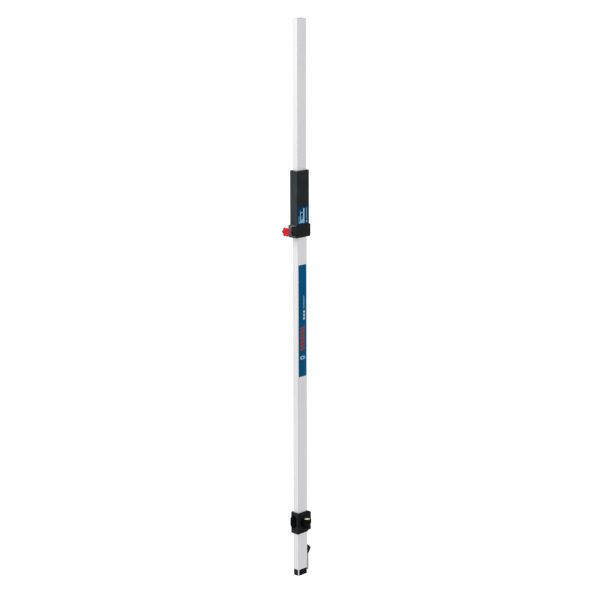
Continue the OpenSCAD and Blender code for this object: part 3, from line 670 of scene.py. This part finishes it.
def make_scale(prefix, body, reading, inset, digit):
    """Ticks every millimetre with numbers every centimetre on a strip that faces +Y.

    reading(z) gives the scale's value at the height z, and digit is the numbers' height.
    """
    low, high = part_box(f"{prefix}_scale")
    y = high.y
    dress(f"{prefix}_scale", SCALE_CREAM)
    left, right = high.x - inset, low.x + inset
    width = left - right
    black, red, digits, big = bmesh.new(), bmesh.new(), bmesh.new(), bmesh.new()
    first, last = math.ceil((low.z + SCALE_MARGIN) / MM), math.floor((high.z - SCALE_MARGIN) / MM)
    for step in range(first, last + 1):
        z = step * MM
        value = round(reading(z) / MM)
        length = width * next(share for every, share in TICK_LENGTHS if value % every == 0)
        major = value % 100 == 0
        box_into(
            red if major else black,
            (left - length, y, z - TICK / 2), (left, y + FILM_LIFT, z + TICK / 2),
        )
        if value % 10 == 0:
            number_into(
                big if major else digits, str(value // 10), right, z,
                digit * (DECIMETRE_DIGIT if major else 1.0), y + FILM_LIFT,
            )
    for name, bm, ink in (
        ("ticks", black, SCALE_BLACK), ("decimetre_ticks", red, SCALE_RED),
        ("numbers", digits, SCALE_BLACK), ("decimetre_numbers", big, SCALE_RED),
    ):
        piece(f"{prefix}_{name}", bm, ink, body)


def make_scales():
    """The lower tube's scale reads from the ground, the upper one the rod's length at the window."""
    make_scale("outer", "lower", lambda z: z, 1.2 * MM, 5.4 * MM)
    top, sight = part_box("inner_tube")[1].z, centre("window_lens").z
    make_scale("inner", "rod", lambda z: top + sight - z, 3.8 * MM, 3.9 * MM)
    # the sighting line on the window
    low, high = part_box("window_lens")
    inset, half = 1.2 * MM, 0.15 * MM
    line = (low.x + inset, high.x - inset, sight - half, sight + half)
    print_bars("sighting_line", [line], high.y, SCALE_RED, side=BACK)


# ---------------------------------------------------------------- knob

KNOB_LOBES = 6
KNOB_STEPS = 192
THREAD_PITCH = 1.25 * MM
THREAD_DEPTH = 0.42 * MM
# The knob's plan, as shares of its radius
LOBE_SHARE = 0.30
CORE_SHARE = 0.78
BLEND_SHARE = 0.03
# The knob's body, in metres: its thickness, hub, round edge and the play round its cap
KNOB_THICK = 5.4 * MM
KNOB_HUB = 7.0 * MM
KNOB_FILLET = 1.5 * MM
CAP_PLAY = 0.15 * MM
# In millimetres: behind the face and out from the recess, then past the star and out from the hub
RECESS_PROFILE = ((1.0, 0.0), (0.35, 0.0), (0.1, 0.3), (0.0, 0.8))
NECK_PROFILE = ((0.0, 1.4), (0.6, 0.3), (1.6, 0.0))
HUB_CHAMFER = 0.6 * MM


def star_radius(angle, outer):
    """Distance of the knob's edge from its axis: round lobes that run into a round core."""
    lobe, core, blend = outer * LOBE_SHARE, outer * CORE_SHARE, outer * BLEND_SHARE
    reach = outer - lobe
    part = math.pi / KNOB_LOBES
    off = (angle + part) % (2 * part) - part
    chord = lobe ** 2 - (reach * math.sin(off)) ** 2
    bump = reach * math.cos(off) + math.sqrt(chord) if chord > 0 else 0
    return min(outer, blend * math.log(math.exp(bump / blend) + math.exp(core / blend)))


def make_knob():
    """Star knob as one skin: the recess for its cap, the star with round edges, and its hub."""
    low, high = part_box("knob_head")
    axis_z = (low.z + high.z) / 2
    outer = high.y
    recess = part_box("knob_cap")[1].y + CAP_PLAY
    angles = [2 * math.pi * i / KNOB_STEPS for i in range(KNOB_STEPS)]
    quarter = [math.radians(15 * i) for i in range(7)]
    star_back = low.x + KNOB_THICK

    def star(x, inset):
        radii = [star_radius(a, outer) - inset for a in angles]
        return [(x, r * math.cos(a), axis_z + r * math.sin(a)) for a, r in zip(angles, radii)]

    def circle(x, radius):
        return [(x, radius * math.cos(a), axis_z + radius * math.sin(a)) for a in angles]

    face = [circle(low.x + deep * MM, recess + out * MM) for deep, out in RECESS_PROFILE]
    edge = [(KNOB_FILLET * (1 - math.sin(a)), KNOB_FILLET * (1 - math.cos(a))) for a in quarter]
    front = [star(low.x + deep, inset) for deep, inset in reversed(edge)]
    back = [star(star_back - deep, inset) for deep, inset in edge]
    neck = [circle(star_back + past * MM, KNOB_HUB + out * MM) for past, out in NECK_PROFILE]
    end = [circle(high.x - HUB_CHAMFER, KNOB_HUB), circle(high.x, KNOB_HUB - HUB_CHAMFER)]
    bm = bmesh.new()
    loft_into(bm, face + front + back + neck + end)
    head = piece("star_knob", bm, RED, "knob", sharp=math.radians(50))
    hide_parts("knob_head")
    dress("knob_cap", RED_CAP, 0.25 * MM)
    make_stud(axis_z)


def make_stud(axis_z):
    """The knob's stud with its thread, as one swept helix."""
    low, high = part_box("knob_stud")
    radius = (high.z - low.z) / 2
    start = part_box("knob_head")[1].x - 1 * MM
    sides = 28
    slice_x = THREAD_PITCH / 4
    rings = []
    for i in range(int((high.x - start) / slice_x) + 1):
        x = start + i * slice_x
        ring = []
        for j in range(sides):
            turn = j / sides
            phase = ((x - start) / THREAD_PITCH - turn) % 1.0
            r = radius - THREAD_DEPTH * (1 - abs(2 * phase - 1))
            a = 2 * math.pi * turn
            ring.append((x, r * math.cos(a), axis_z + r * math.sin(a)))
        rings.append(ring)
    bm = bmesh.new()
    loft_into(bm, rings)
    stud = piece("threaded_stud", bm, ZINC, "knob")
    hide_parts("knob_stud")


# The clamp cover's lobe, its rim, and the rim's inset from the lobe's edge and the cover's front
LOBE_RADIUS = 15 * MM
LOBE_RIM = 2.6 * MM
RIM_INSET = 0.15 * MM
RIM_FRONT = 1.2 * MM
# How far the rim stands proud, in millimetres, at shares of its width
RIM_PROFILE = ((-0.3, 0.0), (0.1, 0.0), (0.3, 0.15), (0.3, 0.85), (0.1, 1.0), (-0.3, 1.0))


def make_lobe_rims():
    """The raised dark rims round the clamp cover's two lobes, beside the knob and opposite it."""
    low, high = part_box("clamp_cover")
    mid_y, mid_z = high.y - LOBE_RADIUS, centre("knob_head").z
    reach = math.acos((low.y + RIM_FRONT - mid_y) / LOBE_RADIUS)
    steps = 48
    turns = [reach * (2 * i / steps - 1) for i in range(steps + 1)]
    for name, face, side in (("knob_side", low.x, -1), ("toe_side", high.x, 1)):
        section = [
            (face + side * proud * MM, LOBE_RADIUS - RIM_INSET - LOBE_RIM * share)
            for proud, share in RIM_PROFILE
        ]
        bm = bmesh.new()
        loft_into(bm, [
            [(x, mid_y + r * math.cos(a), mid_z + r * math.sin(a)) for x, r in section]
            for a in turns
        ])
        piece(f"lobe_rim_{name}", bm, BLACK, "lower")


# ---------------------------------------------------------------- level bracket

# The release button's pad and ribs, and the ribs of the finger rest opposite it
BUTTON_CROWN = 0.5 * MM
BUTTON_FILLET = 1.6 * MM
BUTTON_RIB = (1.5 * MM, 0.7 * MM, 3.6 * MM)  # height, corner and pitch
BUTTON_RIB_LEVELS = ((0.9, 1.0), (0.2, 0.9), (-0.1, 0.55))  # mm behind the face, share of height
FINGER_RIB = (1.2 * MM, 0.5 * MM, 3.0 * MM)
FINGER_RIB_LEVELS = ((-0.2, 1.0), (0.5, 0.8), (0.8, 0.4))  # mm out of the waist, share of height
WAIST_DEPTH = 1.2 * MM
WAIST_HEIGHT = 26 * MM


def make_button():
    """Oval release button: a crowned soft pad with ribs across it."""
    low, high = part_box("release_button")
    mid = (low + high) / 2
    width, height = high.y - low.y, high.z - low.z
    outline = rounded_outline(width, height, width / 2 - TINY, 12)

    def ring(x, across, up):
        return [(x, mid.y + u * across, mid.z + v * up) for u, v in outline]

    rings = [ring(high.x, 1, 1)]
    for i in range(6):
        a = math.radians(18 * i)
        inset = 2 * BUTTON_FILLET * (1 - math.cos(a))
        x = low.x + BUTTON_CROWN + BUTTON_FILLET * (1 - math.sin(a))
        rings.append(ring(x, 1 - inset / width, 1 - inset / height))
    for share in (0.75, 0.5, 0.25):
        rings.append(ring(low.x + BUTTON_CROWN * share ** 2, share * 0.85, share * 0.92))
    bm = bmesh.new()
    loft_into(bm, rings)
    button = piece("oval_button", bm, SOFT_TOUCH, "release", sharp=math.radians(60))
    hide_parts("release_button")
    ribs = bmesh.new()
    tall, corner, pitch = BUTTON_RIB
    levels = [(low.x + deep * MM, thin) for deep, thin in BUTTON_RIB_LEVELS]
    for i in range(-3, 4):
        rib_into(ribs, mid.y, mid.z + i * pitch, width * 0.6, tall, corner, levels, 4)
    piece("button_ribs", ribs, SOFT_TOUCH, "release")


def make_finger_ribs():
    """Raised grip bars in the waist of the finger rest, on each side of the housing's joint."""
    low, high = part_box("housing_front")
    tall, corner, pitch = FINGER_RIB
    levels = [(high.x - WAIST_DEPTH + out * MM, thin) for out, thin in FINGER_RIB_LEVELS]
    for name, y0, y1 in (("front", -8.5 * MM, -0.5 * MM), ("rear", 0.5 * MM, 15.0 * MM)):
        bm = bmesh.new()
        for i in range(-2, 3):
            z = low.z + WAIST_HEIGHT + i * pitch
            rib_into(bm, (y0 + y1) / 2, z, y1 - y0, tall, corner, levels, 3)
        piece(f"finger_ribs_{name}", bm, HOUSING, "level")


# The vial's lens, its bubble, and the circles printed under the lens
LENS_LIP = 1.05 * MM
LENS_SHOULDER = 0.9 * MM
LENS_DOME_BASE = 0.7 * MM
LENS_DOME_RISE = 1.6 * MM
BUBBLE_RADIUS = 3.1 * MM
BUBBLE_SINK = 0.32  # the bubble's depth and rise, over its radius
BUBBLE_RISE = 0.10
BUBBLE_SHIFT = Vector((0.35 * MM, -0.2 * MM, 0.02 * MM))
CIRCLE_RADII = (3.9 * MM, 6.3 * MM)
CIRCLE_WIDTH = 0.28 * MM
CIRCLE_LEVELS = (0.03 * MM, 0.04 * MM)
ROUND_STEPS = 64


def make_lens():
    """Domed lens: a flange under the ring, and a low dome that stands just proud of it."""
    low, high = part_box("vial_lens")
    mid = (low + high) / 2
    radius = (high.x - low.x) / 2
    opening, shoulder = radius - LENS_LIP, high.z - LENS_SHOULDER
    profile = [(radius, low.z), (radius, shoulder), (opening, shoulder)]
    for i in range(9):
        t = math.radians(10.5 * i)
        z = high.z - LENS_DOME_BASE + LENS_DOME_RISE * math.sin(t)
        profile.append((opening * math.cos(t), z))
    bm = bmesh.new()
    loft_into(bm, [
        [(mid.x + u, mid.y + v, z) for u, v in circle_points(r, ROUND_STEPS)] for r, z in profile
    ])
    lens = piece("domed_lens", bm, ACRYLIC, "level")
    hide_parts("vial_lens")


def make_vial():
    """Bubble under the lens, and the two printed circles that it is centred in."""
    # the spirit's material carries a painted glow, a faint emission
    dress("vial_liquid", SPIRIT_PAINTED_GLOW)
    dress("vial_base", VIAL_BASE, 0.3 * MM)
    dress("vial_ring", BLACK, 0.2 * MM)
    top = centre("vial_liquid")
    top.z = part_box("vial_liquid")[1].z
    bm = bmesh.new()
    bmesh.ops.create_uvsphere(bm, u_segments=40, v_segments=20, radius=BUBBLE_RADIUS)
    for v in bm.verts:
        v.co.z *= BUBBLE_SINK if v.co.z < 0 else BUBBLE_RISE
        v.co += top + BUBBLE_SHIFT
    piece("bubble", bm, BUBBLE, "level")
    rings = bmesh.new()
    under, over = CIRCLE_LEVELS
    for radius in CIRCLE_RADII:
        wide = radius + CIRCLE_WIDTH
        loops = [
            [
                rings.verts.new((top.x + u, top.y + v, top.z + lift))
                for u, v in circle_points(r, ROUND_STEPS)
            ]
            for r, lift in ((radius, under), (wide, under), (wide, over), (radius, over))
        ]
        for a, b in zip(loops, loops[1:] + loops[:1]):
            for i in range(ROUND_STEPS):
                j = (i + 1) % ROUND_STEPS
                rings.faces.new((a[i], a[j], b[j], b[i]))
    piece("vial_circles", rings, SCALE_BLACK, "level")


# ---------------------------------------------------------------- foot

# The raised grip dashes on the foot's panels
GRIP_DASH = (2.6 * MM, 1.3 * MM, 0.6 * MM)  # width, height and corner
GRIP_PITCH = (4.1 * MM, 4.6 * MM)  # along a row and between rows
GRIP_ROWS = 3
GRIP_FIRST_ROW = 5.2 * MM
GRIP_STAGGER = 1.0 * MM  # odd rows stand this far to one side, and even ones to the other
GRIP_RISE = 0.35 * MM
GRIP_LEVELS = ((-0.2 * MM, 1.0), (0.6 * GRIP_RISE, 0.95), (GRIP_RISE, 0.7))


def make_foot_relief():
    """Raised dashes on the foot's black panels, which give a wet or gloved hand some grip."""
    half_w, half_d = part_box("outer_tube")[1].xy
    outline = rounded_outline(*GRIP_DASH, 3)
    bm = bmesh.new()
    # each panel: how many dashes a row has past its middle one, and a point at u, z and so far out
    panels = (
        (3, lambda u, z, out: (u, -half_d - out, z)),
        (3, lambda u, z, out: (u, half_d + out, z)),
        (1, lambda u, z, out: (-half_w - out, u, z)),
    )
    for reach, point in panels:
        for row in range(GRIP_ROWS):
            z = GRIP_FIRST_ROW + row * GRIP_PITCH[1]
            for i in range(-reach, reach + 1):
                mid = i * GRIP_PITCH[0] + (2 * (row % 2) - 1) * GRIP_STAGGER
                loft_into(bm, [
                    [point(mid + u * share, z + v * share, out) for u, v in outline]
                    for out, share in GRIP_LEVELS
                ])
    piece("foot_relief", bm, FOOT, "lower")


# ---------------------------------------------------------------- carried-over nodes

def dress_all():
    """Gives every node that keeps its CAD mesh a material and an edge radius."""
    edge = 0.35 * MM
    for node, material, bevel in (
        ("outer_tube", ALUMINIUM, 0.12 * MM), ("inner_tube", ALUMINIUM, 0.12 * MM),
        ("foot_plug", FOOT, 0.25 * MM), ("foot_sole", STEEL, 0.2 * MM),
        ("sole_screws", ZINC, 0.0), ("foot_rivets", RIVET, 0.15 * MM),
        ("bump_stop", RUBBER, 0.8 * MM), ("toe_pin", ZINC, 0.3 * MM),
        ("clamp_body", CLAMP_GREY, edge), ("clamp_cover", COVER, edge),
        ("clamp_screws", ZINC, 0.15 * MM), ("stop_screws", ZINC, 0.15 * MM),
        ("thread_insert", BRASS, 0.2 * MM), ("grip_sleeve", SLEEVE, 0.0),
        ("sleeve_screws", ZINC, 0.1 * MM), ("upper_collar", BLACK, edge),
        ("window_bezel", BLACK, 0.3 * MM), ("window_lens", PANE, 0.2 * MM),
        ("top_cap", CAP, 0.6 * MM), ("guide_shoe", WHITE_PLASTIC, 0.3 * MM),
        ("shoe_rivets", RIVET, 0.0), ("brake_pad", RUBBER, 0.3 * MM),
        ("housing_front", HOUSING, 0.5 * MM), ("housing_rear", HOUSING, 0.5 * MM),
        ("housing_screws", ZINC, 0.1 * MM), ("liner_runners", WHITE_PLASTIC, 0.1 * MM),
        ("vial_holder", BLACK, 0.5 * MM), ("release_yoke", STEEL, 0.2 * MM),
        ("yoke_pad", RUBBER, 0.4 * MM), ("release_spring", STEEL, 0.0),
        ("toe_strip", TOE_METAL, 0.0), ("toe_tab", BLACK, 0.5 * MM),
    ):
        dress(node, material, bevel)


make_camera()
make_world()
make_dome()
make_floor()
for lamp in LAMPS:
    area_light(*lamp)
bpy.context.scene.view_settings.view_transform = "Standard"
bpy.context.scene.view_settings.look = "Medium High Contrast"

dress_all()
make_front_label()
make_sleeve_label()
make_scales()
make_knob()
make_lobe_rims()
make_button()
make_finger_ribs()
make_lens()
make_vial()
make_foot_relief()
